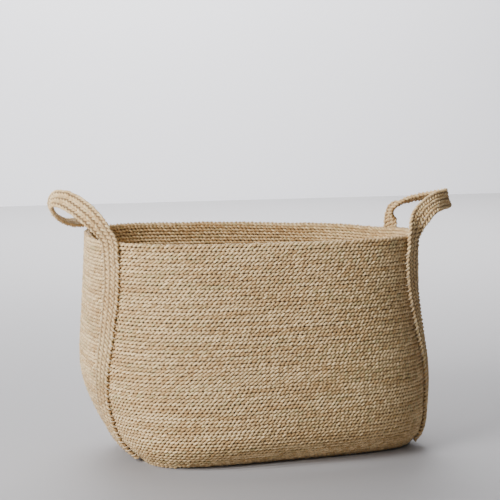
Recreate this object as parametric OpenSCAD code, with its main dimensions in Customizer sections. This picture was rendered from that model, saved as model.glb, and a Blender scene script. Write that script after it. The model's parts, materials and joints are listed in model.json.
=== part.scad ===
// Soft oval storage basket of plaited jute with two strap handles.
// One three-strand plait stands on edge and is coiled into an oval floor. It
// then carries on round and round as the wall, each course sewn to the one
// below. Two straps, each of three plaits sewn side by side, run up the
// outside of the short ends, stand above the rim as hand loops and run down
// again. The free part of each strap bends along the rim as a soft hinge.
//
// The origin is on the floor under the middle of the basket and +Z is up.
// The long side runs along X and the front faces -Y.

/* [Plait] */
// Width of one plait, which is the thickness of the wall and the floor
plait_w = 8; // [7:0.5:9]
// Thickness of one plait, which is the height of one course
plait_t = 4.4; // [4:0.1:5]

/* [Basket] */
// Number of courses from the floor to the rim
courses = 63; // [58:1:70]
// Length of the floor along X
floor_l = 352; // [320:2:380]
// Depth of the floor along Y
floor_d = 186; // [170:2:200]
// Length of the wall where it bulges most
belly_l = 430; // [400:2:450]
// Depth of the wall where it bulges most
belly_d = 296; // [270:2:320]
// Length of the opening over the outside of the rim
rim_l = 414; // [400:2:430]
// Depth of the opening over the outside of the rim
rim_d = 262; // [240:2:280]
// How far the rim sags at its back right corner
rim_sag = 8; // [0:1:10]

/* [Handles] */
// Height of the hinge line of a handle above the rim
hinge_h = 4; // [3:0.5:6]
// Gap between two plaits of a strap
strap_gap = 0.2; // [0.1:0.1:0.6]
// Gap between a strap and the wall behind it
strap_lift = 0.4; // [0.3:0.1:1]
// Pitch of the whip stitches along the edges of a strap
stitch_pitch = 7.5; // [6:0.5:12]
// Diameter of the sewing thread
thread_d = 1.2; // [0.8:0.1:1.6]

/* [Hidden] */

jute = "burlywood";
jute_light = "wheat";
thread = "navajowhite";

wall_h = courses * plait_t;
around = 64;
wall_parts = 6;
rim_from = 1 - 1 / courses;
leg_from = 0.03;
leg_rings = 26;
loop_rings = 40;
sides = 8;

// Outline of the wall at five heights. Each row holds the share of the
// height, half length, half depth, shift along X, shift along Y, squareness
// of the oval and its turn about Z in degrees.
levels = [
    [0.00, floor_l / 2, floor_d / 2, 22, 6, 5, 5],
    [0.10, floor_l / 2 + 22, floor_d / 2 + 34, 13, -10, 3, 4],
    [0.35, belly_l / 2, belly_d / 2, 0, 0, 2.9, 1.5],
    [0.65, belly_l / 2 - 4, belly_d / 2 - 1, -3, 5, 2.8, -2],
    [1.00, rim_l / 2, rim_d / 2, -5, -10, 2.9, -6]];
sag_bearing = 35;

// Bearing of each strap leg from the middle of the basket, by share of the
// height
left_front = [[0, 191.5], [0.13, 193.5], [0.3, 197], [0.41, 198.4], [0.65, 199.6], [0.8, 201], [1, 201.3]];
left_back = [[0, 154], [0.5, 154], [1, 154.5]];
right_front = [[0, -14], [0.4, -21.5], [0.65, -27.5], [0.75, -31], [0.9, -34], [1, -34.5]];
right_back = [[0, 20], [0.5, 15], [1, 11]];

// Middle line of each hand loop between its legs, and the direction across
// the strap there from its inner to its outer edge
left_loop = [
    [[-207, -77, 290], [0.4, -0.9, 0.1]],
    [[-215, -69, 300], [0.6, -0.6, 0.3]],
    [[-228, -51, 313], [0.53, -0.2, 0.63]],
    [[-243, -28, 323], [0.59, 0.2, 0.6]],
    [[-254, -4, 321], [0.3, 0.6, 0.7]],
    [[-250, 18, 305], [-0.27, 0.7, 0.66]],
    [[-235, 37, 292], [-0.5, 0.75, 0.4]],
    [[-218, 55, 286], [-0.56, 0.78, 0.27]],
    [[-203, 72, 286], [-0.5, 0.8, 0.2]],
    [[-192, 83, 291], [-0.25, 0.95, 0.1]],
    [[-188, 89, 289], [0, 1, 0]]];
right_loop = [
    [[170, -115, 290], [0.5, 0.85, 0]],
    [[180, -108, 297], [0.9, 0.2, -0.1]],
    [[194, -97, 307], [0.85, -0.35, -0.3]],
    [[215, -80, 314], [0.6, 0, -0.75]],
    [[237, -58, 315], [0.3, 0.3, -0.9]],
    [[237, -36, 315], [0.6, 0.3, -0.6]],
    [[222, -17, 314], [0.75, 0.6, -0.3]],
    [[208, -1, 309], [0.79, 0.61, -0.14]],
    [[197, 14, 301], [0.6, 0.75, 0]],
    [[194, 28, 292], [0.05, 1, 0]],
    [[197, 37, 285], [0.1, 1, 0]]];

// Each handle's front and back leg, with the way that the outer edge of the
// loop points there along the hinge line, which runs from front to back
left_legs = [[left_front, -1], [left_back, 1]];
right_legs = [[right_front, 1], [right_back, 1]];
root_lift = 3;

function unit(v) = v / norm(v);
function signed_power(v, e) = sign(v) * pow(abs(v), e);
function turned(p, a) = [p[0] * cos(a) - p[1] * sin(a), p[0] * sin(a) + p[1] * cos(a)];

// Slope and value of a smooth curve through rows whose first entry rises
function row_slope(rows, i) =
    let (a = max(i - 1, 0), b = min(i + 1, len(rows) - 1))
    (rows[b] - rows[a]) / (rows[b][0] - rows[a][0]);
function row_at(rows, t) =
    let (
        i = max([for (k = [0 : len(rows) - 2]) if (k == 0 || rows[k][0] <= t) k]),
        h = rows[i + 1][0] - rows[i][0],
        s = (t - rows[i][0]) / h)
    (2 * pow(s, 3) - 3 * pow(s, 2) + 1) * rows[i]
    + (pow(s, 3) - 2 * pow(s, 2) + s) * h * row_slope(rows, i)
    + (3 * pow(s, 2) - 2 * pow(s, 3)) * rows[i + 1]
    + (pow(s, 3) - pow(s, 2)) * h * row_slope(rows, i + 1);

// A point of the wall at a share of the height and an angle round the oval,
// moved in from the outside by inset
function wall_point(t, angle, inset = 0) =
    let (
        row = row_at(levels, t),
        flat = turned([
            row[3] + (row[1] - inset) * signed_power(cos(angle), 2 / row[5]),
            row[4] + (row[2] - inset) * signed_power(sin(angle), 2 / row[5])], row[6]),
        sag = rim_sag * pow(max(0, cos(angle - sag_bearing)), 6) * pow(t, 5))
    [flat[0], flat[1], wall_h * t - sag];

// The angle round the oval at which the wall lies at a bearing, by halving
function to_bearing(t, angle, bearing) =
    let (p = wall_point(t, angle), a = atan2(p[1], p[0]) - bearing)
    a - 360 * round(a / 360);
function angle_at(t, bearing, low, high, steps = 16) =
    let (middle = (low + high) / 2)
    steps == 0 ? middle
    : to_bearing(t, middle, bearing) > 0 ? angle_at(t, bearing, low, middle, steps - 1)
    : angle_at(t, bearing, middle, high, steps - 1);
function at_bearing(t, bearing) = wall_point(t, angle_at(t, bearing, bearing - 60, bearing + 60));
function out_of_wall(t, bearing) =
    unit(cross(
        at_bearing(t, bearing + 1) - at_bearing(t, bearing - 1),
        at_bearing(min(t + 0.02, 1), bearing) - at_bearing(min(t + 0.02, 1) - 0.04, bearing)));

// One ring of the outline of a plait, flat across the strap
function plait_ring(middle, across, out) = [for (k = [0 : sides - 1])
    let (a = 360 * (k + 0.5) / sides)
    middle + across * cos(a) * plait_w / 2 / cos(180 / sides)
    + out * sin(a) * plait_t / 2 / cos(180 / sides)];

// The two triangles of a face with four corners
function split(a, b, c, d) = [[a, b, c], [a, c, d]];

// Faces of a closed tube of rings, each of n points
function tube_faces(rings, n) = concat(
    [[for (k = [n - 1 : -1 : 0]) k]],
    [for (r = [0 : rings - 2], k = [0 : n - 1])
        each split(r * n + k, r * n + (k + 1) % n, (r + 1) * n + (k + 1) % n, (r + 1) * n + k)],
    [[for (k = [0 : n - 1]) (rings - 1) * n + k]]);

module tube(rings) {
    polyhedron(
        points = [for (ring = rings) each ring],
        faces = tube_faces(len(rings), len(rings[0])),
        convexity = 6);
}

// A run of wall courses between two shares of the height
module wall_run(from, to, steps) {
    heights = [for (i = [0 : steps]) from + (to - from) * i / steps];
    profile = concat(
        [for (t = heights) [t, 0]],
        [for (i = [steps : -1 : 0]) [heights[i], plait_w]]);
    n = len(profile);
    polyhedron(
        points = [for (j = [0 : around - 1], p = profile) wall_point(p[0], 360 * j / around, p[1])],
        faces = [for (j = [0 : around - 1], k = [0 : n - 1])
            let (next = (j + 1) % around, up = (k + 1) % n)
            each split(j * n + k, j * n + up, next * n + up, next * n + k)],
        convexity = 8);
}

module base_start_row() {
    row_l = floor_l - floor_d;
    start = levels[0];
    color(jute)
        rotate([0, 0, start[6]])
            translate([start[3], start[4], 0])
                linear_extrude(plait_w)
                    start_row_outline(row_l, plait_t);
}

// A straight row with round ends, seen from above
module start_row_outline(row_l, row_w) {
    square([row_l, row_w], center = true);
    for (side = [-1, 1])
        translate([side * row_l / 2, 0])
            circle(d = row_w, $fn = 24);
}

module base_coil() {
    start = levels[0];
    color(jute)
        linear_extrude(plait_w)
            difference() {
                polygon([for (j = [0 : around - 1])
                    let (p = wall_point(0, 360 * j / around, plait_w))
                    [p[0], p[1]]]);
                rotate(start[6])
                    translate([start[3], start[4]])
                        start_row_outline(floor_l - floor_d, plait_t);
            }
}

module wall_coil(i) {
    color(jute)
        wall_run((i - 1) / wall_parts * rim_from, i / wall_parts * rim_from, 3);
}

module rim_course() {
    color(jute_light)
        wall_run(rim_from, 1, 1);
}

// Middle, across and out directions of plait k of a strap leg at height t
function leg_frame(leg, k, t) =
    let (
        bearing = row_at(leg, t)[1],
        here = at_bearing(t, bearing),
        out_here = out_of_wall(t, bearing),
        side = unit(cross([0, 0, 1], out_here)),
        moved = here + side * (k - 2) * (plait_w + strap_gap),
        own = atan2(moved[1], moved[0]),
        out = out_of_wall(t, own),
        point = at_bearing(t, own))
    [point + out * (plait_t / 2 + strap_lift), unit(cross([0, 0, 1], out)), out];

module leg_plait(leg, k) {
    frames = [for (i = [0 : leg_rings]) leg_frame(leg, k, leg_from + (1 - leg_from) * i / leg_rings)];
    color(jute_light)
        tube([for (f = frames) plait_ring(f[0], f[1], f[2])]);
}

// Rows of one hand loop: distance along it, middle line and across direction
function hinge_point(leg) = leg_frame(leg, 2, 1)[0] + [0, 0, hinge_h];
function hinge_line(legs) = unit(hinge_point(legs[1][0]) - hinge_point(legs[0][0]));
function loop_root(legs, i) =
    [hinge_point(legs[i][0]) + [0, 0, root_lift], hinge_line(legs) * legs[i][1]];
function loop_keys(legs, loop) = concat([loop_root(legs, 0)], loop, [loop_root(legs, 1)]);
function run_up_to(keys, i) = i == 0 ? 0 : run_up_to(keys, i - 1) + norm(keys[i][0] - keys[i - 1][0]);
function loop_rows(keys) = [for (i = [0 : len(keys) - 1])
    concat([run_up_to(keys, i)], keys[i][0], unit(keys[i][1]))];

// Middle, across and out directions at distance s along plait k of a loop
function loop_frame(rows, k, s) =
    let (
        row = row_at(rows, s),
        ahead = row_at(rows, s + 0.5) - row_at(rows, s - 0.5),
        along = unit([ahead[1], ahead[2], ahead[3]]),
        lean = [row[4], row[5], row[6]],
        across = unit(lean - along * (lean * along)))
    [[row[1], row[2], row[3]] + across * (k - 2) * (plait_w + strap_gap), across, cross(across, along)];

module loop_plait(legs, loop, k) {
    rows = loop_rows(loop_keys(legs, loop));
    length = rows[len(rows) - 1][0];
    frames = [for (i = [0 : loop_rings]) loop_frame(rows, k, length * i / loop_rings)];
    color(jute_light)
        tube([for (f = frames) plait_ring(f[0], f[1], f[2])]);
}

// Whip stitches that stand beside both edges of a strap leg
module leg_stitches(leg) {
    count = floor((1 - leg_from) * wall_h / stitch_pitch) - 1;
    color(thread)
        for (i = [1 : count], edge = [1, 3]) {
            frame = leg_frame(leg, edge, leg_from + i * stitch_pitch / wall_h);
            beside = (edge - 2) * (plait_w / 2 + thread_d);
            stitch(frame[0] + frame[1] * beside, frame[1], frame[2]);
        }
}

// One stitch, a short bar of thread from the wall to the face of the strap
module stitch(middle, across, out) {
    up = cross(out, across);
    multmatrix([
        [across[0], up[0], out[0], middle[0]],
        [across[1], up[1], out[1], middle[1]],
        [across[2], up[2], out[2], middle[2]],
        [0, 0, 0, 1]])
        cube([thread_d, thread_d, plait_t], center = true);
}

base_start_row();
base_coil();
for (i = [1 : wall_parts])
    wall_coil(i);
rim_course();
for (k = [1 : 3]) {
    leg_plait(left_front, k);
    leg_plait(left_back, 4 - k);
    leg_plait(right_front, k);
    leg_plait(right_back, k);
    loop_plait(left_legs, left_loop, k);
    loop_plait(right_legs, right_loop, k);
}
leg_stitches(left_front);  // left_front_stitches
leg_stitches(left_back);  // left_back_stitches
leg_stitches(right_front);  // right_front_stitches
leg_stitches(right_back);  // right_back_stitches
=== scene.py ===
"""Visual model of a soft storage basket coiled from plaited jute.

The wall is one three-strand plait wound in a helix, the floor the same plait
in an oval spiral, and each handle a strap of three plaits that runs up the
wall, stands above the rim as a loop and runs down again. The shapes follow
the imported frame: the wall's surface is surveyed with rays, the straps' middle
lines are read from the frame's own tubes, and their legs are laid on the wall.
"""
from __future__ import annotations

import json
import logging
import math
from collections import defaultdict
from dataclasses import dataclass, field, replace
from enum import Enum

import bpy
import numpy as np
from mathutils import Euler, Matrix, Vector
from mathutils.bvhtree import BVHTree

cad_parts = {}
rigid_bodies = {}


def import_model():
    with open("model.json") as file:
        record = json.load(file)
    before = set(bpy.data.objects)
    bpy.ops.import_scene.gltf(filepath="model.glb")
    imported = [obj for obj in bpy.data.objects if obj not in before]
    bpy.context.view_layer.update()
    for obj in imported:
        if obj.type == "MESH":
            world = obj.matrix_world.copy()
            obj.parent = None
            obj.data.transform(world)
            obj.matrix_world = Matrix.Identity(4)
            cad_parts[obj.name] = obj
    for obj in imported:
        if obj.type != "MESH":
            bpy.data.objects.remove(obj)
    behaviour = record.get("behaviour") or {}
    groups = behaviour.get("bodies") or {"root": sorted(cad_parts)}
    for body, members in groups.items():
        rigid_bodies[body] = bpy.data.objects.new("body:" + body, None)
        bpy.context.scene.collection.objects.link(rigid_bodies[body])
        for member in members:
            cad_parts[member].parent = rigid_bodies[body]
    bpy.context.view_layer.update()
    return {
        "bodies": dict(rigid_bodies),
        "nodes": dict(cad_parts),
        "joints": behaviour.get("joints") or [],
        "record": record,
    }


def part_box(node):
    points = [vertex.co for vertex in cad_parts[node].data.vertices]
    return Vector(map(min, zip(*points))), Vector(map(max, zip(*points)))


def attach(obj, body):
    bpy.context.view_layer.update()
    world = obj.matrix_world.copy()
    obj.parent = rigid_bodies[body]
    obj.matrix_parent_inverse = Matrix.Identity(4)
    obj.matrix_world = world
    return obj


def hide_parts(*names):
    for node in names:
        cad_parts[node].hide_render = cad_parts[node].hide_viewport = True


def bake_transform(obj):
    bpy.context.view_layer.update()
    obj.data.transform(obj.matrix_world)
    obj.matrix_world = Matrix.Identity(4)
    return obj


LOG = logging.getLogger("basket")
Colour = tuple[float, float, float]
Array = np.ndarray
MM = 0.001
FRAME: dict = {}


class Side(Enum):
    """The two short ends of the basket, each with its handle."""

    LEFT = "left"
    RIGHT = "right"


class End(Enum):
    """The two legs of a strap."""

    FRONT = "front"
    BACK = "back"


# ---------------------------------------------------------------- finishes

def group_node(tree: bpy.types.NodeTree, kind: str, **values: object) -> bpy.types.Node:
    """Adds a node and sets its properties.

    Args:
        tree: the node tree that gets the node.
        kind: the node's type name.
        **values: properties set on the node.

    Returns:
        The new node.
    """
    node = tree.nodes.new(kind)
    for name, value in values.items():
        setattr(node, name, value)
    return node


def math_node(tree: bpy.types.NodeTree, operation: str, a: object, b: object = 0.0) -> bpy.types.NodeSocket:
    """Adds a Math node whose inputs are sockets or numbers.

    Args:
        tree: the node tree that gets the node.
        operation: the Math node's operation.
        a: first socket or number.
        b: second socket or number.

    Returns:
        The node's output socket.
    """
    node = group_node(tree, "ShaderNodeMath", operation=operation)
    for socket, value in zip(node.inputs, (a, b)):
        if isinstance(value, (int, float)):
            socket.default_value = value
        else:
            tree.links.new(value, socket)
    return node.outputs[0]


@dataclass(frozen=True)
class FibreEffect:
    """Shared look of plaited jute: patches of hue along a plait, fibre streaks, and painted shade that
    darkens a strand where it lies deep inside the plait.
    """

    name: str = "Jute fibre"
    patch_detail: float = 3.0
    patch_roughness: float = 0.6
    strand_shift: float = 0.35
    pale_band: tuple[float, float] = (0.36, 0.64)
    olive_band: tuple[float, float] = (0.52, 0.72)
    olive_share: float = 0.7
    streaks_round: float = 2.6
    streaks_a_metre: float = 55.0
    streak_shift: float = 13.7
    streak_scale: float = 1.6
    streak_detail: float = 4.0
    streak_roughness: float = 0.7
    height_band: tuple[float, float] = (0.3, 0.7)
    proud_band: tuple[float, float] = (0.15, 0.85)
    rough_change: float = 0.1

    def group(self) -> bpy.types.NodeTree:
        """Returns the shader group, built at its first use."""
        found = bpy.data.node_groups.get(self.name)
        return found or self._build()

    def _build(self) -> bpy.types.NodeTree:
        """Builds the shader group.

        Returns:
            The group, with its named inputs and outputs.
        """
        tree = bpy.data.node_groups.new(self.name, "ShaderNodeTree")
        for name in ("Pale", "Tan", "Olive", "Gap"):
            tree.interface.new_socket(name, in_out="INPUT", socket_type="NodeSocketColor")
        for name in ("Patches per metre", "Streak", "Gap depth", "Roughness"):
            tree.interface.new_socket(name, in_out="INPUT", socket_type="NodeSocketFloat")
        for name, kind in (("Colour", "NodeSocketColor"), ("Roughness", "NodeSocketFloat"),
                           ("Height", "NodeSocketFloat")):
            tree.interface.new_socket(name, in_out="OUTPUT", socket_type=kind)
        given = group_node(tree, "NodeGroupInput").outputs
        result = group_node(tree, "NodeGroupOutput").inputs
        link = tree.links.new

        run = group_node(tree, "ShaderNodeAttribute", attribute_name="run").outputs["Fac"]
        strand = group_node(tree, "ShaderNodeAttribute", attribute_name="strand").outputs["Fac"]
        proud = group_node(tree, "ShaderNodeAttribute", attribute_name="proud").outputs["Fac"]
        ring = group_node(tree, "ShaderNodeAttribute", attribute_name="ring").outputs["Vector"]

        patch_at = group_node(tree, "ShaderNodeCombineXYZ")
        link(math_node(tree, "MULTIPLY", run, given["Patches per metre"]), patch_at.inputs["X"])
        link(math_node(tree, "MULTIPLY", strand, self.strand_shift), patch_at.inputs["Y"])
        patch = group_node(tree, "ShaderNodeTexNoise")
        patch.inputs["Scale"].default_value = 1.0
        patch.inputs["Detail"].default_value = self.patch_detail
        patch.inputs["Roughness"].default_value = self.patch_roughness
        link(patch_at.outputs[0], patch.inputs["Vector"])
        split = group_node(tree, "ShaderNodeSeparateColor")
        link(patch.outputs["Color"], split.inputs[0])

        def spread(value: bpy.types.NodeSocket, low: float, high: float) -> bpy.types.NodeSocket:
            """Stretches a value so that low to high becomes 0 to 1.

            Args:
                value: the socket of the value.
                low: what becomes 0.
                high: what becomes 1.

            Returns:
                The socket of the stretched value.
            """
            ranged = group_node(tree, "ShaderNodeMapRange", interpolation_type="SMOOTHSTEP")
            ranged.inputs["From Min"].default_value = low
            ranged.inputs["From Max"].default_value = high
            link(value, ranged.inputs["Value"])
            return ranged.outputs[0]

        def mixed(factor: bpy.types.NodeSocket, a: bpy.types.NodeSocket, b: bpy.types.NodeSocket,
                  blend: str = "MIX") -> bpy.types.NodeSocket:
            """Mixes two colours.

            Args:
                factor: the share of the second colour.
                a: the first colour.
                b: the second colour.
                blend: how they are mixed.

            Returns:
                The socket of the mixed colour.
            """
            mix = group_node(tree, "ShaderNodeMix", data_type="RGBA", blend_type=blend)
            link(factor, mix.inputs["Factor"])
            link(a, mix.inputs["A"])
            link(b, mix.inputs["B"])
            return mix.outputs["Result"]

        base = mixed(spread(split.outputs["Red"], *self.pale_band), given["Tan"], given["Pale"])
        green = spread(split.outputs["Green"], *self.olive_band)
        base = mixed(math_node(tree, "MULTIPLY", green, self.olive_share), base, given["Olive"])

        streak_at = group_node(tree, "ShaderNodeVectorMath", operation="SCALE")
        streak_at.inputs["Scale"].default_value = self.streaks_round
        link(ring, streak_at.inputs[0])
        along = group_node(tree, "ShaderNodeCombineXYZ")
        link(math_node(tree, "MULTIPLY", run, self.streaks_a_metre), along.inputs["Z"])
        link(math_node(tree, "MULTIPLY", strand, self.streak_shift), along.inputs["X"])
        place = group_node(tree, "ShaderNodeVectorMath", operation="ADD")
        link(streak_at.outputs[0], place.inputs[0])
        link(along.outputs[0], place.inputs[1])
        streak = group_node(tree, "ShaderNodeTexNoise")
        streak.inputs["Scale"].default_value = self.streak_scale
        streak.inputs["Detail"].default_value = self.streak_detail
        streak.inputs["Roughness"].default_value = self.streak_roughness
        link(place.outputs[0], streak.inputs["Vector"])
        height = spread(streak.outputs["Fac"], *self.height_band)

        uneven = math_node(tree, "SUBTRACT", height, 0.5)
        light = math_node(tree, "ADD", math_node(tree, "MULTIPLY", uneven, given["Streak"]), 1.0)
        shade = group_node(tree, "ShaderNodeCombineColor")
        for channel in ("Red", "Green", "Blue"):
            link(light, shade.inputs[channel])
        full = group_node(tree, "ShaderNodeValue")
        full.outputs[0].default_value = 1.0
        base = mixed(full.outputs[0], base, shade.outputs[0], "MULTIPLY")
        # painted shade: a strand is mixed towards the dark shade colour where it swings to the plait's
        # middle, deep between the other strands
        sunk = math_node(tree, "SUBTRACT", 1.0, spread(proud, *self.proud_band))
        gap_shade = math_node(tree, "MULTIPLY", sunk, given["Gap depth"])
        link(mixed(gap_shade, base, given["Gap"]), result["Colour"])
        rougher = math_node(tree, "MULTIPLY", height, self.rough_change)
        link(math_node(tree, "ADD", given["Roughness"], rougher), result["Roughness"])
        link(height, result["Height"])
        return tree


@dataclass(frozen=True)
class JuteFinish:
    """A jute finish. Colours are linear; patch_rate is in patches a metre. Its darkest colour is painted
    shade, mixed in where a strand lies deep inside the plait.
    """

    name: str
    pale: Colour
    tan: Colour
    olive: Colour
    gap_shade: Colour
    patch_rate: float = 14.0
    streak: float = 0.55
    gap_shade_depth: float = 0.8
    roughness: float = 0.8
    relief: float = 0.35
    sheen: float = 0.15
    sheen_roughness: float = 0.6
    shine: float = 0.25
    relief_depth: float = 0.3 * MM

    def material(self) -> bpy.types.Material:
        """Returns the material, made at its first use."""
        found = bpy.data.materials.get(self.name)
        return found or self._make()

    def _make(self) -> bpy.types.Material:
        """Makes the material.

        Returns:
            A node material that places the shared fibre group.
        """
        material = bpy.data.materials.new(self.name)
        material.use_nodes = True
        tree = material.node_tree
        shader = tree.nodes["Principled BSDF"]
        shader.inputs["Sheen Weight"].default_value = self.sheen
        shader.inputs["Sheen Roughness"].default_value = self.sheen_roughness
        shader.inputs["Specular IOR Level"].default_value = self.shine
        effect = group_node(tree, "ShaderNodeGroup", node_tree=FibreEffect().group())
        for name, colour in (("Pale", self.pale), ("Tan", self.tan), ("Olive", self.olive),
                             ("Gap", self.gap_shade)):
            effect.inputs[name].default_value = (*colour, 1.0)
        for name, value in (("Patches per metre", self.patch_rate), ("Streak", self.streak),
                            ("Gap depth", self.gap_shade_depth), ("Roughness", self.roughness)):
            effect.inputs[name].default_value = value
        bump = group_node(tree, "ShaderNodeBump")
        bump.inputs["Strength"].default_value = self.relief
        bump.inputs["Distance"].default_value = self.relief_depth
        tree.links.new(effect.outputs["Height"], bump.inputs["Height"])
        tree.links.new(bump.outputs[0], shader.inputs["Normal"])
        tree.links.new(effect.outputs["Colour"], shader.inputs["Base Color"])
        tree.links.new(effect.outputs["Roughness"], shader.inputs["Roughness"])
        return material


# the darkest colour of each finish is painted shade for the deep parts of the plaits; the thread's is never
# mixed in
WALL_JUTE = JuteFinish("coiled_jute", pale=(0.86, 0.64, 0.345), tan=(0.54, 0.34, 0.145),
                       olive=(0.50, 0.42, 0.20), gap_shade=(0.20, 0.11, 0.042), gap_shade_depth=0.85)
STRAP_JUTE = JuteFinish("strap_jute", pale=(0.83, 0.62, 0.34), tan=(0.60, 0.39, 0.175),
                        olive=(0.52, 0.44, 0.22), gap_shade=(0.15, 0.08, 0.03), patch_rate=20.0, gap_shade_depth=0.9)
THREAD = JuteFinish("whip_thread", pale=(0.80, 0.68, 0.48), tan=(0.66, 0.50, 0.31),
                    olive=(0.56, 0.48, 0.31), gap_shade=(0.3, 0.2, 0.1), patch_rate=40.0, gap_shade_depth=0.0)


# ---------------------------------------------------------------- plaits

@dataclass(frozen=True)
class Plait:
    """A flat plait of three round strands, in metres."""

    width: float = 8.0 * MM
    thickness: float = 4.4 * MM
    period: float = 16.2 * MM
    strand_radius: float = 1.35 * MM
    core_radius: float = 1.6 * MM
    overlap: float = 0.25 * MM
    wander: float = 0.45 * MM
    rings: int = 7
    sides: int = 5
    slant: float = 1.0

    @property
    def sway(self) -> float:
        """How far a strand swings to each side of the plait's middle line."""
        return self.width / 2 - self.strand_radius

    @property
    def rise(self) -> float:
        """How far a strand lifts off the plait's middle plane."""
        return self.thickness / 2 - self.strand_radius + self.overlap

    @property
    def step(self) -> float:
        """Distance between two rings of a strand."""
        return self.period / self.rings


@dataclass
class Guide:
    """The middle line of one or more plaits, one row a point."""

    points: Array
    across: Array
    face: Array
    run: Array
    starts: list[int] = field(default_factory=lambda: [0])

    def mesh(self, name: str) -> bpy.types.Mesh:
        """Makes a mesh of edges that carries the guide's directions.

        Args:
            name: the mesh's name.

        Returns:
            The mesh, with attributes across, face and run.
        """
        count = len(self.points)
        breaks = set(self.starts)
        edges = [(i - 1, i) for i in range(1, count) if i not in breaks]
        mesh = bpy.data.meshes.new(name)
        mesh.from_pydata([tuple(p) for p in self.points], edges, [])
        for label, values in (("across", self.across), ("face", self.face)):
            mesh.attributes.new(label, "FLOAT_VECTOR", "POINT").data.foreach_set(
                "vector", np.ascontiguousarray(values, dtype=np.float32).ravel())
        mesh.attributes.new("run", "FLOAT", "POINT").data.foreach_set(
            "value", np.ascontiguousarray(self.run, dtype=np.float32))
        return mesh

    @staticmethod
    def joined(guides: list[Guide]) -> Guide:
        """Joins several guides, whose lines stay separate.

        Args:
            guides: the guides.

        Returns:
            One guide that holds them all.
        """
        starts, total = [], 0
        for guide in guides:
            starts += [total + s for s in guide.starts]
            total += len(guide.points)
        return Guide(*(np.concatenate([getattr(g, part) for g in guides])
                       for part in ("points", "across", "face", "run")), starts)


def unit(vectors: Array) -> Array:
    """Returns the rows of an array at length 1."""
    return vectors / np.linalg.norm(vectors, axis=-1, keepdims=True)


def smoothed(rows: Array, passes: int, closed: bool = False) -> Array:
    """Evens out the rows of an array.

    Args:
        rows: values, one row a point.
        passes: how many times each point is averaged with its neighbours.
        closed: True on a ring, whose last row neighbours its first.

    Returns:
        The evened rows. The ends of an open line stay put.
    """
    rows = rows.copy()
    for _ in range(passes):
        if closed:
            rows = (np.roll(rows, 1, 0) + 2 * rows + np.roll(rows, -1, 0)) / 4
        else:
            rows[1:-1] = (rows[:-2] + 2 * rows[1:-1] + rows[2:]) / 4
    return rows


def respaced(points: Array, step: float, *others: Array) -> list[Array]:
    """Places points a fixed step apart along a line.

    Args:
        points: the line.
        step: the distance between the new points.
        *others: more arrays with a row a point, carried along.

    Returns:
        The new points, their distances along the line, then the other arrays.
    """
    run = np.concatenate([[0.0], np.cumsum(np.linalg.norm(np.diff(points, axis=0), axis=1))])
    at = np.linspace(0, run[-1], max(2, int(round(run[-1] / step)) + 1))

    def pick(values: Array) -> Array:
        """Returns an array's values at the new places."""
        return np.stack([np.interp(at, run, values[:, c]) for c in range(values.shape[1])], axis=1)

    return [pick(points), at, *(pick(v) for v in others)]


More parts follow.
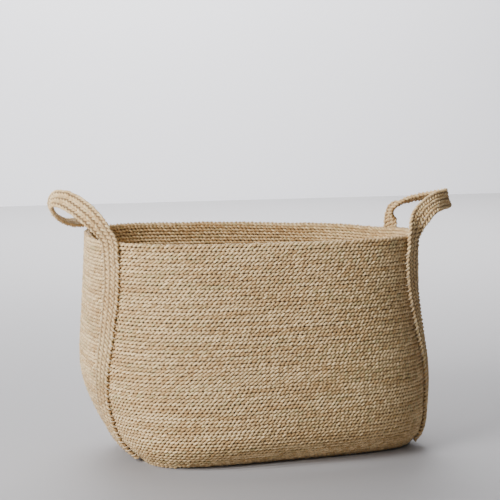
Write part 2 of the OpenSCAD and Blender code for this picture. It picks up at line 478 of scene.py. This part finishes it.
class PlaitTree:
    """The Geometry Nodes tree that lays three strands along a guide."""

    NAME = "Plait along a guide"
    STRANDS = 3
    CORE_SIDES = 3
    WANDER_RATE = 150.0
    WANDER_GAIN = 4.0

    def __init__(self) -> None:
        """Builds the tree."""
        tree = bpy.data.node_groups.new(self.NAME, "GeometryNodeTree")
        self.tree = tree
        add = tree.interface.new_socket
        add("Geometry", in_out="OUTPUT", socket_type="NodeSocketGeometry")
        add("Geometry", in_out="INPUT", socket_type="NodeSocketGeometry")
        kinds = dict.fromkeys(("Sway", "Rise", "Period", "Strand radius", "Core radius", "Wander"),
                              "NodeSocketFloat")
        kinds |= {"Sides": "NodeSocketInt", "Material": "NodeSocketMaterial"}
        self.inputs = {name: add(name, in_out="INPUT", socket_type=kind).identifier
                       for name, kind in kinds.items()}
        given = group_node(tree, "NodeGroupInput").outputs
        link = tree.links.new

        line = group_node(tree, "GeometryNodeMeshToCurve")
        link(given["Geometry"], line.inputs["Mesh"])
        ring = self._profile(given["Sides"], given["Strand radius"])
        core = group_node(tree, "GeometryNodeCurveToMesh")
        inner = self._stored("strand", "FLOAT", line.outputs["Curve"], float(self.STRANDS))
        # the hidden core gets proud 0, so its colour is all painted shade
        link(self._stored("proud", "FLOAT", inner, 0.0), core.inputs["Curve"])
        link(self._profile(self.CORE_SIDES, given["Core radius"]), core.inputs["Profile Curve"])
        core.inputs["Fill Caps"].default_value = True
        shake = group_node(tree, "ShaderNodeTexNoise")
        shake.inputs["Scale"].default_value = self.WANDER_RATE
        shake.inputs["Detail"].default_value = 1.0
        centred = group_node(tree, "ShaderNodeVectorMath", operation="SUBTRACT")
        link(shake.outputs["Color"], centred.inputs[0])
        centred.inputs[1].default_value = (0.5, 0.5, 0.5)
        wander = group_node(tree, "ShaderNodeVectorMath", operation="SCALE")
        link(centred.outputs[0], wander.inputs[0])
        link(math_node(tree, "MULTIPLY", given["Wander"], self.WANDER_GAIN), wander.inputs["Scale"])

        turn = math_node(tree, "DIVIDE", self._named("run", "FLOAT"), given["Period"])
        join = group_node(tree, "GeometryNodeJoinGeometry")
        link(core.outputs["Mesh"], join.inputs[0])
        for strand in range(self.STRANDS):
            shifted = math_node(tree, "ADD", turn, strand / self.STRANDS)
            phase = math_node(tree, "MULTIPLY", shifted, math.tau)
            swing = math_node(tree, "SINE", phase)
            lift = math_node(tree, "SINE", math_node(tree, "MULTIPLY", phase, 2.0))
            sideways = self._scaled("across", math_node(tree, "MULTIPLY", swing, given["Sway"]))
            upwards = self._scaled("face", math_node(tree, "MULTIPLY", lift, given["Rise"]))
            total = group_node(tree, "ShaderNodeVectorMath", operation="ADD")
            link(sideways, total.inputs[0])
            link(upwards, total.inputs[1])
            moved = group_node(tree, "GeometryNodeSetPosition")
            geometry = self._stored("strand", "FLOAT", line.outputs["Curve"], float(strand))
            # proud runs from 0 deep in the plait's middle to 1 at its edges and sets where painted shade
            # falls
            geometry = self._stored("proud", "FLOAT", geometry, math_node(tree, "ABSOLUTE", swing))
            link(geometry, moved.inputs["Geometry"])
            loose = group_node(tree, "ShaderNodeVectorMath", operation="ADD")
            link(total.outputs[0], loose.inputs[0])
            link(wander.outputs[0], loose.inputs[1])
            link(loose.outputs[0], moved.inputs["Offset"])
            sweep = group_node(tree, "GeometryNodeCurveToMesh")
            link(moved.outputs["Geometry"], sweep.inputs["Curve"])
            link(ring, sweep.inputs["Profile Curve"])
            sweep.inputs["Fill Caps"].default_value = True
            link(sweep.outputs["Mesh"], join.inputs[0])
        smooth = group_node(tree, "GeometryNodeSetShadeSmooth")
        real = group_node(tree, "GeometryNodeRealizeInstances")
        dressed = group_node(tree, "GeometryNodeSetMaterial")
        out = group_node(tree, "NodeGroupOutput")
        link(join.outputs[0], smooth.inputs["Geometry"])
        link(smooth.outputs[0], real.inputs[0])
        link(real.outputs[0], dressed.inputs["Geometry"])
        link(given["Material"], dressed.inputs["Material"])
        link(dressed.outputs[0], out.inputs[0])

    def _profile(self, sides: object, radius: bpy.types.NodeSocket) -> bpy.types.NodeSocket:
        """Makes the round outline of a strand.

        Args:
            sides: a number or a socket.
            radius: the socket of its radius.

        Returns:
            The outline, with its own directions stored as ring.
        """
        profile = group_node(self.tree, "GeometryNodeCurvePrimitiveCircle")
        if isinstance(sides, int):
            profile.inputs["Resolution"].default_value = sides
        else:
            self.tree.links.new(sides, profile.inputs["Resolution"])
        self.tree.links.new(radius, profile.inputs["Radius"])
        place = group_node(self.tree, "GeometryNodeInputPosition")
        outward = group_node(self.tree, "ShaderNodeVectorMath", operation="NORMALIZE")
        self.tree.links.new(place.outputs[0], outward.inputs[0])
        return self._stored("ring", "FLOAT_VECTOR", profile.outputs["Curve"], outward.outputs[0])

    def _named(self, name: str, kind: str) -> bpy.types.NodeSocket:
        """Reads a named attribute.

        Args:
            name: the attribute's name.
            kind: its data type.

        Returns:
            The socket of its value.
        """
        node = group_node(self.tree, "GeometryNodeInputNamedAttribute", data_type=kind)
        node.inputs["Name"].default_value = name
        return node.outputs["Attribute"]

    def _scaled(self, name: str, factor: bpy.types.NodeSocket) -> bpy.types.NodeSocket:
        """Scales a named direction.

        Args:
            name: the direction's attribute.
            factor: the socket of the factor.

        Returns:
            The socket of the scaled direction.
        """
        node = group_node(self.tree, "ShaderNodeVectorMath", operation="SCALE")
        self.tree.links.new(self._named(name, "FLOAT_VECTOR"), node.inputs[0])
        self.tree.links.new(factor, node.inputs["Scale"])
        return node.outputs[0]

    def _stored(self, name: str, kind: str, geometry: bpy.types.NodeSocket,
                value: object) -> bpy.types.NodeSocket:
        """Stores a named attribute on a geometry.

        Args:
            name: the attribute's name.
            kind: its data type.
            geometry: the geometry that gets it.
            value: a socket or a number.

        Returns:
            The geometry with the attribute.
        """
        node = group_node(self.tree, "GeometryNodeStoreNamedAttribute", data_type=kind, domain="POINT")
        node.inputs["Name"].default_value = name
        self.tree.links.new(geometry, node.inputs["Geometry"])
        if isinstance(value, float):
            node.inputs["Value"].default_value = value
        else:
            self.tree.links.new(value, node.inputs["Value"])
        return node.outputs["Geometry"]

    def lay(self, name: str, guide: Guide, plait: Plait, finish: JuteFinish) -> bpy.types.Object:
        """Makes the plaits of a guide as one plain mesh object.

        Args:
            name: the piece's name.
            guide: the plaits' middle lines.
            plait: the sizes of one plait.
            finish: the finish it gets.

        Returns:
            The piece, with no modifier left on it.
        """
        line = bpy.data.objects.new(name + "_guide", guide.mesh(name + "_guide"))
        bpy.context.scene.collection.objects.link(line)
        modifier = line.modifiers.new("Plait", "NODES")
        modifier.node_group = self.tree
        values = {"Sway": plait.sway, "Rise": plait.rise * plait.slant, "Period": plait.period,
                  "Strand radius": plait.strand_radius, "Core radius": plait.core_radius,
                  "Wander": plait.wander, "Sides": plait.sides, "Material": finish.material()}
        for label, value in values.items():
            modifier[self.inputs[label]] = value
        return baked(line, name)


def baked(source: bpy.types.Object, name: str) -> bpy.types.Object:
    """Turns what an object's modifiers make into a plain mesh object.

    Args:
        source: the object, which is removed.
        name: the new object's name.

    Returns:
        The new object.
    """
    graph = bpy.context.evaluated_depsgraph_get()
    mesh = bpy.data.meshes.new_from_object(source.evaluated_get(graph),
                                           preserve_all_data_layers=True, depsgraph=graph)
    mesh.name = name
    piece = bpy.data.objects.new(name, mesh)
    bpy.context.scene.collection.objects.link(piece)
    old = source.data
    bpy.data.objects.remove(source)
    bpy.data.meshes.remove(old)
    return piece


# ---------------------------------------------------------------- frame reading

def world_mesh(node: str) -> tuple[Array, Array]:
    """Reads the mesh of a frame node.

    Args:
        node: the node's name.

    Returns:
        Its corner points and its triangles.
    """
    mesh = FRAME["nodes"][node].data
    points = np.empty(len(mesh.vertices) * 3)
    mesh.vertices.foreach_get("co", points)
    mesh.calc_loop_triangles()
    faces = np.empty(len(mesh.loop_triangles) * 3, dtype=np.int64)
    mesh.loop_triangles.foreach_get("vertices", faces)
    return points.reshape(-1, 3), faces.reshape(-1, 3)


@dataclass
class WallSurface:
    """The outside of the wall, surveyed with rays on a grid of courses and bearings."""

    plait: Plait
    bearings: int = 256
    reach: float = 1.0
    sag_power: int = 5
    rim_passes: int = 6
    round_passes: int = 10
    up_passes: int = 6
    rim_insets: tuple[float, float, float] = (0.5, 1.6, 0.1)
    rim_level: float = 0.95
    rim_lowest: float = 0.9

    def __post_init__(self) -> None:
        """Surveys the wall."""
        names = [f"wall_coil_{i}" for i in range(1, 7)] + ["rim_course"]
        points, faces, total = [], [], 0
        for name in names:
            p, f = world_mesh(name)
            points.append(p)
            faces.append(f + total)
            total += len(p)
        tree = BVHTree.FromPolygons(np.concatenate(points).tolist(),
                                    np.concatenate(faces).tolist())
        low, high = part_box("rim_course")
        self.height = high[2]
        self.courses = int(round(self.height / self.plait.thickness))
        self.centre = np.array([(low[0] + high[0]) / 2, (low[1] + high[1]) / 2])
        angles = np.arange(self.bearings) * math.tau / self.bearings
        self.outward = np.stack([np.cos(angles), np.sin(angles)], axis=1)
        top = np.array([self._rim_height(tree, d) for d in self.outward])
        top = smoothed(top[:, None], self.rim_passes, closed=True)[:, 0]
        grid = np.empty((self.courses, self.bearings, 3))
        for n in range(self.courses):
            share = (n + 0.5) / self.courses
            for j, direction in enumerate(self.outward):
                z = self.height * share - (self.height - top[j]) * share ** self.sag_power
                grid[n, j] = self._hit(tree, direction, z)
        grid = smoothed(grid.transpose(1, 0, 2), self.round_passes, closed=True).transpose(1, 0, 2)
        self.grid = smoothed(grid, self.up_passes)
        self.skin = self._skin()

    def _skin(self) -> BVHTree:
        """Returns the surveyed surface as a tree that finds nearest points."""
        across, up = np.meshgrid(np.arange(self.bearings), np.arange(self.courses - 1))
        corner = (up * self.bearings + across).ravel()
        beside = (up * self.bearings + (across + 1) % self.bearings).ravel()
        quads = np.column_stack([corner, beside, beside + self.bearings, corner + self.bearings])
        return BVHTree.FromPolygons(self.grid.reshape(-1, 3).tolist(), quads.tolist())

    def _hit(self, tree: BVHTree, direction: Array, z: float) -> Array:
        """Finds where a level ray from outside meets the wall.

        Args:
            tree: the wall's mesh.
            direction: the level direction out from the basket's middle.
            z: the ray's height.

        Returns:
            The point.
        """
        start = self.centre + direction * self.reach
        spot, _, _, _ = tree.ray_cast(Vector((*start, z)), Vector((*-direction, 0.0)))
        return np.array(spot)

    def _rim_height(self, tree: BVHTree, direction: Array) -> float:
        """Measures the height of the rim's top in a direction.

        Args:
            tree: the wall's mesh.
            direction: the level direction out from the basket's middle.

        Returns:
            The height.
        """
        edge = self._hit(tree, direction, self.height * self.rim_level)[:2]
        down = Vector((0, 0, -1))
        for inset in np.arange(*self.rim_insets) * self.plait.width:
            spot, _, _, _ = tree.ray_cast(Vector((*(edge - direction * inset), 1.0)), down)
            if spot is not None and spot.z > self.height * self.rim_lowest:
                return spot.z
        return self.height

    def at(self, course: Array, turn: Array) -> tuple[Array, Array]:
        """Finds places on the outside of the wall.

        Args:
            course: course numbers, counted from 0 at the floor, fractions allowed.
            turn: turns round the basket.

        Returns:
            The points and the outward directions there.
        """
        course = np.clip(course, 0, self.courses - 1)
        low = np.minimum(course.astype(int), self.courses - 2)
        up = (course - low)[:, None]
        spot = (turn % 1.0) * self.bearings
        left = spot.astype(int) % self.bearings
        right = (left + 1) % self.bearings
        side = (spot - np.floor(spot))[:, None]
        grid = self.grid

        def level(row: Array) -> Array:
            """Returns the points on whole courses."""
            return grid[row, left] * (1 - side) + grid[row, right] * side

        bottom, top = level(low), level(low + 1)
        along = grid[low, (left + 2) % self.bearings] - grid[low, (left - 1) % self.bearings]
        wide_low, wide_high = np.maximum(low - 2, 0), np.minimum(low + 3, self.courses - 1)
        outward = unit(np.cross(along, level(wide_high) - level(wide_low)))
        return bottom * (1 - up) + top * up, outward


@dataclass
class StrapLine:
    """The middle line of one strap, read from the tubes of its middle plait."""

    side: Side
    step: float
    evening: int = 14
    corners: int = 8
    roots: int = 3

    def guide(self) -> tuple[Array, Array, Array]:
        """Joins front leg, loop and back leg.

        Returns:
            Points, the direction across the strap and the direction out of its face.
        """
        name = self.side.value
        front = self._rings(f"{name}_{End.FRONT.value}_leg_plait_2")
        loop = self._rings(f"{name}_handle_plait_2")
        back = self._rings(f"{name}_{End.BACK.value}_leg_plait_2")
        front = sorted(front, key=lambda ring: ring.mean(0)[2])
        back = sorted(back, key=lambda ring: -ring.mean(0)[2])
        near = [np.linalg.norm(loop[i].mean(0) - front[-1].mean(0)) for i in (0, -1)]
        if near[1] < near[0]:
            loop = loop[::-1]
        rings = front + loop[self.roots:-self.roots] + back
        points = np.array([ring.mean(0) for ring in rings])
        across = []
        for ring in rings:
            way = np.linalg.svd(ring - ring.mean(0))[2][0]
            if across and np.dot(way, across[-1]) < 0:
                way = -way
            across.append(way)
        points, _, across = respaced(points, self.step, np.array(across))
        points, across = smoothed(points, self.evening), smoothed(across, self.evening * 2)
        along = unit(np.gradient(points, axis=0))
        across = unit(across - along * np.sum(across * along, axis=1, keepdims=True))
        return points, across, np.cross(across, along)

    def _rings(self, node: str) -> list[Array]:
        """Reads the rings of a tube node from one end to the other.

        Args:
            node: the frame node of the tube.

        Returns:
            The corner points of each ring.
        """
        points, faces = world_mesh(node)
        keys: dict[tuple, int] = {}
        merged = np.array([keys.setdefault(tuple(np.round(p, 6)), len(keys)) for p in points])
        corners = np.array(list(keys))
        faces = merged[faces]
        first, second, third = (corners[faces[:, c]] for c in range(3))
        normals = np.cross(second - first, third - first)
        flat: dict[tuple, set[int]] = defaultdict(set)
        for face, normal in zip(faces, unit(normals)):
            level = np.dot(normal, corners[face[0]])
            flat[tuple(np.round([*(normal * 50), level * 1000], 0))].update(face.tolist())
        cap = max(flat.values(), key=len)
        neighbours: dict[int, set[int]] = defaultdict(set)
        for face in faces.tolist():
            for corner in face:
                neighbours[corner].update(face)
        seen, ring, rings = set(cap), set(cap), [set(cap)]
        while True:
            ring = set().union(*(neighbours[c] for c in ring)) - seen
            if not ring:
                return [corners[sorted(r)] for r in rings if len(r) == self.corners]
            seen |= ring
            rings.append(ring)


# ---------------------------------------------------------------- sub-assemblies

@dataclass
class Wall:
    """The wall: a plait on edge wound in a helix, in six runs and a rim course."""

    surface: WallSurface
    tree: PlaitTree
    plait: Plait
    runs: int = 6
    samples: int = 600
    tight_core: float = 3.0 * MM

    def build(self) -> list[bpy.types.Object]:
        """Builds the runs of courses and the rim.

        Returns:
            The pieces.
        """
        last = self.surface.courses - 1
        shares = [i / self.runs * last - 0.5 for i in range(self.runs + 1)]
        made = [self._run(f"wall_courses_{i + 1}", f"wall_coil_{i + 1}", shares[i], shares[i + 1])
                for i in range(self.runs)]
        made.append(self._run("rim_plait", "rim_course", last - 0.5, last + 0.5))
        return made

    def _run(self, name: str, node: str, start: float, end: float) -> bpy.types.Object:
        """Builds one run of the helix.

        Args:
            name: the piece's name.
            node: the frame node that it stands for.
            start: course number where it starts.
            end: course number where it ends.

        Returns:
            The piece.
        """
        turns = np.linspace(start, end, int((end - start) * self.samples) + 1)
        course = np.clip(turns, 0, self.surface.courses - 1)
        points, outward = self.surface.at(course, turns)
        points = points - outward * self.plait.width / 2
        points, run, outward = respaced(points, self.plait.step, outward)
        along = unit(np.gradient(points, axis=0))
        outward = unit(outward - along * np.sum(outward * along, axis=1, keepdims=True))
        guide = Guide(points, outward, np.cross(outward, along), run + start * self.mean_course)
        # the first run and the rim keep the thin core, which doesn't show below or above them
        inner = 0 < start < self.surface.courses - 2
        plait = replace(self.plait, core_radius=self.tight_core) if inner else self.plait
        piece = self.tree.lay(name, guide, plait, WALL_JUTE)
        dress(piece, "basket", "jute_wall", node)
        return piece

    @property
    def mean_course(self) -> float:
        """Length of a course half way up, in metres."""
        row = self.surface.grid[self.surface.courses // 2]
        return float(np.linalg.norm(row - np.roll(row, 1, 0), axis=1).sum())


@dataclass
class Floor:
    """The floor: the same plait coiled from a straight start row out to the wall."""

    surface: WallSurface
    tree: PlaitTree
    plait: Plait
    rings_a_period: int = 6
    core_radius: float = 2.4 * MM
    first_turn: float = 0.5
    last_turn: float = 0.5
    passes: int = 3

    def build(self) -> list[bpy.types.Object]:
        """Builds the start row and the spiral round it.

        Returns:
            The two pieces.
        """
        plait = Plait(rings=self.rings_a_period, slant=-1.0, core_radius=self.core_radius)
        ends = self._row_ends()
        bearings = self.surface.bearings
        outline, outward = self.surface.at(np.zeros(bearings), np.arange(bearings) / bearings)
        edge = outline[:, :2] - outward[:, :2] * self.plait.width
        along = ends[1] - ends[0]
        share = np.clip((edge - ends[0]) @ along / (along @ along), 0, 1)[:, None]
        core = ends[0] + share * along
        widest = np.linalg.norm(edge - core, axis=1).min()
        rows = widest / self.plait.thickness
        turns = np.arange(self.first_turn, rows + self.last_turn, 1 / bearings)
        j = np.arange(len(turns)) % bearings
        reach = (turns / rows)[:, None]
        flat = core[j] + (edge[j] - core[j]) * reach
        level = self.plait.width / 2
        points = np.column_stack([flat, np.full(len(flat), level)])
        points = smoothed(points, self.passes)
        coil = self._flat_guide(points, plait)
        spiral = self.tree.lay("floor_coil", coil, plait, WALL_JUTE)
        dress(spiral, "basket", "jute_wall", "base_coil")
        straight = np.array([[*ends[0], level], [*ends[1], level]])
        row = self.tree.lay("floor_start_row", self._flat_guide(straight, plait), plait, WALL_JUTE)
        dress(row, "basket", "jute_wall", "base_start_row")
        return [row, spiral]

    def _row_ends(self) -> Array:
        """Returns the two ends of the start row, seen from above."""
        points, _ = world_mesh("base_start_row")
        flat = points[:, :2]
        middle = flat.mean(0)
        way = np.linalg.svd(flat - middle, full_matrices=False)[2][0]
        reach = np.abs((flat - middle) @ way).max() - self.plait.thickness / 2
        return np.array([middle - way * reach, middle + way * reach])

    def _flat_guide(self, points: Array, plait: Plait) -> Guide:
        """Makes a guide for a plait that stands on edge on the floor.

        Args:
            points: the plait's middle line.
            plait: the sizes of the plait.

        Returns:
            The guide.
        """
        points, run = respaced(points, plait.step)
        along = unit(np.gradient(points, axis=0))
        up = np.tile([0.0, 0.0, 1.0], (len(points), 1))
        return Guide(points, up, np.cross(up, along), run)


@dataclass
class Strap:
    """A strap of three plaits: front leg, hand loop and back leg in one piece."""

    side: Side
    tree: PlaitTree
    plait: Plait
    surface: WallSurface
    pitch: float = 8.2 * MM
    lift: float = 1.9 * MM
    free_from: float = 30.0 * MM
    free_to: float = 12.0 * MM
    bend_from: float = 8.0 * MM
    bend_to: float = 9.0 * MM
    stagger: float = 5.4 * MM
    line_passes: int = 5
    face_passes: int = 8

    def __post_init__(self) -> None:
        """Reads the strap's middle line and lays its three plaits."""
        self.points, self.across, self.face = StrapLine(self.side, self.plait.step).guide()
        self.lines = {k: self._hugged(self.points + self.across * k * self.pitch, self.face)
                      for k in (-1, 0, 1)}

    def build(self) -> bpy.types.Object:
        """Builds the three plaits as one piece and hides the frame's strap nodes.

        Returns:
            The piece.
        """
        name = self.side.value
        lines = []
        for k, (points, face) in self.lines.items():
            points, run, across, face = respaced(points, self.plait.step, self.across, face)
            along = unit(np.gradient(points, axis=0))
            across = unit(across - along * np.sum(across * along, axis=1, keepdims=True))
            lines.append(Guide(points, across, np.cross(across, along), run + (k + 1) * self.stagger))
        piece = self.tree.lay(f"{name}_strap", Guide.joined(lines), self.plait, STRAP_JUTE)
        nodes = [f"{name}_handle_plait_{k}" for k in (1, 2, 3)]
        nodes += [f"{name}_{end.value}_leg_plait_{k}" for end in End for k in (1, 2, 3)]
        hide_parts(*nodes)
        hinge = next(j for j in FRAME["joints"] if j["name"] == f"{name}_handle_fold")
        x, y, z = hinge_place(hinge)
        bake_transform(piece)
        return piece

    def _hugged(self, points: Array, face: Array) -> tuple[Array, Array]:
        """Lays the legs of one plait against the wall.

        Args:
            points: the plait's middle line.
            face: the direction out of its face.

        Returns:
            The new line and its face directions.
        """
        highest = self.surface.height - self.free_to
        fade = self.free_from - self.free_to
        new, out = points.copy(), face.copy()
        for i, point in enumerate(points):
            share = min(1.0, max(0.0, (highest - point[2]) / fade))
            if share > 0:
                spot, normal, _, _ = self.surface.skin.find_nearest(Vector(point))
                normal = np.array(normal)
                new[i] = point + (np.array(spot) + normal * self.lift - point) * share
                way = normal if np.dot(normal, face[i]) > 0 else -normal
                out[i] = face[i] + (way - face[i]) * share
        return smoothed(new, self.line_passes), unit(smoothed(out, self.face_passes))


def hinge_place(joint: dict) -> tuple[float, float, float]:
    """Returns a point on a joint's axis, in metres."""
    return tuple(joint.get("pos_m") or joint["pos"])


@dataclass
class Stitches:
    """Whip stitches that bind both edges of a strap leg to the wall."""

    strap: Strap
    pitch: float = 8.5 * MM
    thread: float = 0.7 * MM
    reach: float = 3.7 * MM
    bow_points: int = 7
    bow_turn: float = 0.9 * math.pi
    bow_width: float = 2.3 * MM
    inset: float = 0.9 * MM
    sink: float = 1.8 * MM
    slope: float = 1.5 * MM
    slope_middle: float = 1.4
    lean: float = 0.8 * MM
    lean_rate: float = 2.4
    thread_share: float = 0.6
    thread_period: float = 6.0 * MM
    run_a_point: float = 1.5 * MM
    run_a_stitch: float = 7.0 * MM

    def build(self) -> list[bpy.types.Object]:
        """Builds the stitches of both legs.

        Returns:
            One piece a leg.
        """
        return [self._leg(end) for end in End]

    def _leg(self, end: End) -> bpy.types.Object:
        """Builds the stitches of one leg.

        Args:
            end: which leg.

        Returns:
            The piece.
        """
        strap = self.strap
        heights = strap.points[:, 2]
        crown = int(heights.argmax())
        rows = range(0, crown) if end is End.FRONT else range(len(heights) - 1, crown, -1)
        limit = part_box(f"{strap.side.value}_{end.value}_stitches")
        rows = [i for i in rows if limit[0][2] <= heights[i] <= limit[1][2]]
        every = max(1, int(round(self.pitch / strap.plait.step)))
        lines = []
        for n, i in enumerate(rows[::every]):
            for way in (-1, 1):
                lines.append(self._stitch(i, way, n))
        name = f"{strap.side.value}_{end.value}_whip_stitches"
        radius = self.thread * self.thread_share
        thin = Plait(width=2 * self.thread, thickness=2 * self.thread, strand_radius=radius,
                     core_radius=radius, overlap=0.0, wander=0.0, period=self.thread_period)
        piece = strap.tree.lay(name, Guide.joined(lines), thin, THREAD)
        dress(piece, "basket", "jute_thread", f"{strap.side.value}_{end.value}_stitches")
        return piece

    def _stitch(self, i: int, way: int, n: int) -> Guide:
        """Makes the guide of one stitch.

        Args:
            i: row of the strap's middle line.
            way: -1 or 1, the edge of the strap.
            n: number of the stitch, which sets its small lean.

        Returns:
            A short bow from the wall over the edge of the strap.
        """
        strap = self.strap
        lean = math.sin(n * self.lean_rate + way) * self.lean
        points, face = strap.lines[way]
        along = unit(points[i + 1] - points[i - 1])
        across = unit(np.cross(along, face[i]))
        across = across if np.dot(across, strap.across[i]) > 0 else -across
        edge = points[i] + across * way * strap.plait.width / 2
        out = outwards(face[i], points[i])
        angles = np.linspace(0, self.bow_turn, self.bow_points)
        bow = [edge + across * way * (math.cos(a) * self.bow_width - self.inset)
               + out * (math.sin(a) * self.reach - self.sink)
               + along * (lean + (a - self.slope_middle) * self.slope) for a in angles]
        points = np.array(bow)
        run = np.arange(len(points)) * self.run_a_point + n * self.run_a_stitch
        along_bow = unit(np.gradient(points, axis=0))
        side = np.tile(along, (len(points), 1))
        side = unit(side - along_bow * np.sum(side * along_bow, axis=1, keepdims=True))
        return Guide(points, side, np.cross(side, along_bow), run)


def outwards(face: Array, point: Array) -> Array:
    """Returns a face direction, pointing away from the basket's middle."""
    return face if np.dot(face[:2], point[:2]) > 0 else -face


def dress(piece: bpy.types.Object, body: str, slot: str, *nodes: str) -> None:
    """Hangs a piece on the body it rides on and hides the frame nodes that it stands for.

    Args:
        piece: the piece.
        body: the body it rides on.
        slot: not used.
        *nodes: the frame nodes that it stands for.
    """
    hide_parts(*nodes)
    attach(piece, body)


# ---------------------------------------------------------------- studio

@dataclass(frozen=True)
class Studio:
    """A pale flat floor and backdrop, soft light and the camera."""

    camera_place: tuple[float, float, float] = (-0.610, -2.080, 0.518)
    camera_turn: tuple[float, float, float] = (82.97, 0.0, -16.23)
    lens: float = 125.5
    floor_colour: Colour = (0.35, 0.345, 0.355)
    wall_colour: Colour = (0.80, 0.80, 0.84)
    air_colour: Colour = (0.95, 0.92, 0.90)
    air_strength: float = 0.21
    sensor: float = 36.0
    dullness: float = 0.7

    def build(self) -> None:
        """Makes the floor, the backdrop, the lights and the camera."""
        self._plain("studio_floor", [(-6, -4, 0), (6, -4, 0), (6, 3.2, 0), (-6, 3.2, 0)],
                    self.floor_colour)
        self._plain("studio_backdrop", [(-6, 3.2, 0), (6, 3.2, 0), (6, 3.2, 5), (-6, 3.2, 5)],
                    self.wall_colour)
        self._soft_light("key", (-1.5, -0.95, 0.95), 0.8, 66)
        self._soft_light("top", (-0.3, 0.3, 2.2), 1.4, 12)
        self._soft_light("fill", (1.9, -1.8, 0.9), 1.6, 1)
        self._soft_light("backdrop", (0.4, 1.9, 2.6), 1.6, 270, aim=(0.8, 3.2, 1.2))
        world = bpy.data.worlds.new("Studio air")
        world.use_nodes = True
        air = world.node_tree.nodes["Background"]
        air.inputs["Color"].default_value = (*self.air_colour, 1.0)
        air.inputs["Strength"].default_value = self.air_strength
        bpy.context.scene.world = world
        data = bpy.data.cameras.new("Camera")
        data.lens = self.lens
        data.sensor_width = self.sensor
        camera = bpy.data.objects.new("Camera", data)
        camera.location = self.camera_place
        camera.rotation_euler = Euler([math.radians(a) for a in self.camera_turn])
        bpy.context.scene.collection.objects.link(camera)
        bpy.context.scene.camera = camera

    def _plain(self, name: str, corners: list[tuple[float, float, float]],
               colour: Colour) -> None:
        """Makes one flat sheet of the studio.

        Args:
            name: the sheet's name.
            corners: its corners.
            colour: its colour, linear.
        """
        mesh = bpy.data.meshes.new(name)
        mesh.from_pydata(corners, [], [tuple(range(len(corners)))])
        material = bpy.data.materials.new(name)
        material.use_nodes = True
        shader = material.node_tree.nodes["Principled BSDF"]
        shader.inputs["Base Color"].default_value = (*colour, 1.0)
        shader.inputs["Roughness"].default_value = self.dullness
        mesh.materials.append(material)
        sheet = bpy.data.objects.new(name, mesh)
        bpy.context.scene.collection.objects.link(sheet)

    def _soft_light(self, name: str, place: tuple[float, float, float], size: float, watts: float,
                    aim: tuple[float, float, float] = (0.0, 0.0, 0.14)) -> None:
        """Makes one square area light that faces a point.

        Args:
            name: the light's name.
            place: where it stands.
            size: the length of its side, in metres.
            watts: its power.
            aim: the point that it faces.
        """
        data = bpy.data.lights.new(name, "AREA")
        data.size = size
        data.energy = watts
        lamp = bpy.data.objects.new(name, data)
        lamp.location = place
        lamp.rotation_euler = (Vector(aim) - Vector(place)).to_track_quat("-Z", "Y").to_euler()
        bpy.context.scene.collection.objects.link(lamp)


def main() -> None:
    """Loads the frame and builds the basket piece by piece."""
    logging.basicConfig(level=logging.INFO, format="%(message)s")
    FRAME.update(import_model())
    plait = Plait(slant=-1.0, strand_radius=1.5 * MM, overlap=0.6 * MM, wander=0.6 * MM)
    tree = PlaitTree()
    surface = WallSurface(plait)
    LOG.info("wall surveyed: %d courses", surface.courses)
    for piece in Floor(surface, tree, plait).build() + Wall(surface, tree, plait).build():
        LOG.info("%s: %d faces", piece.name, len(piece.data.polygons))
    strap_plait = Plait(width=9.0 * MM, thickness=5.0 * MM, strand_radius=1.5 * MM,
                        core_radius=2.0 * MM, overlap=0.4 * MM, rings=11, sides=7,
                        wander=0.5 * MM)
    for side in Side:
        strap = Strap(side, tree, strap_plait, surface)
        piece = strap.build()
        LOG.info("%s: %d faces", piece.name, len(piece.data.polygons))
        for stitches in Stitches(strap).build():
            LOG.info("%s: %d faces", stitches.name, len(stitches.data.polygons))
    Studio().build()


if __name__ == "__main__":
    main()
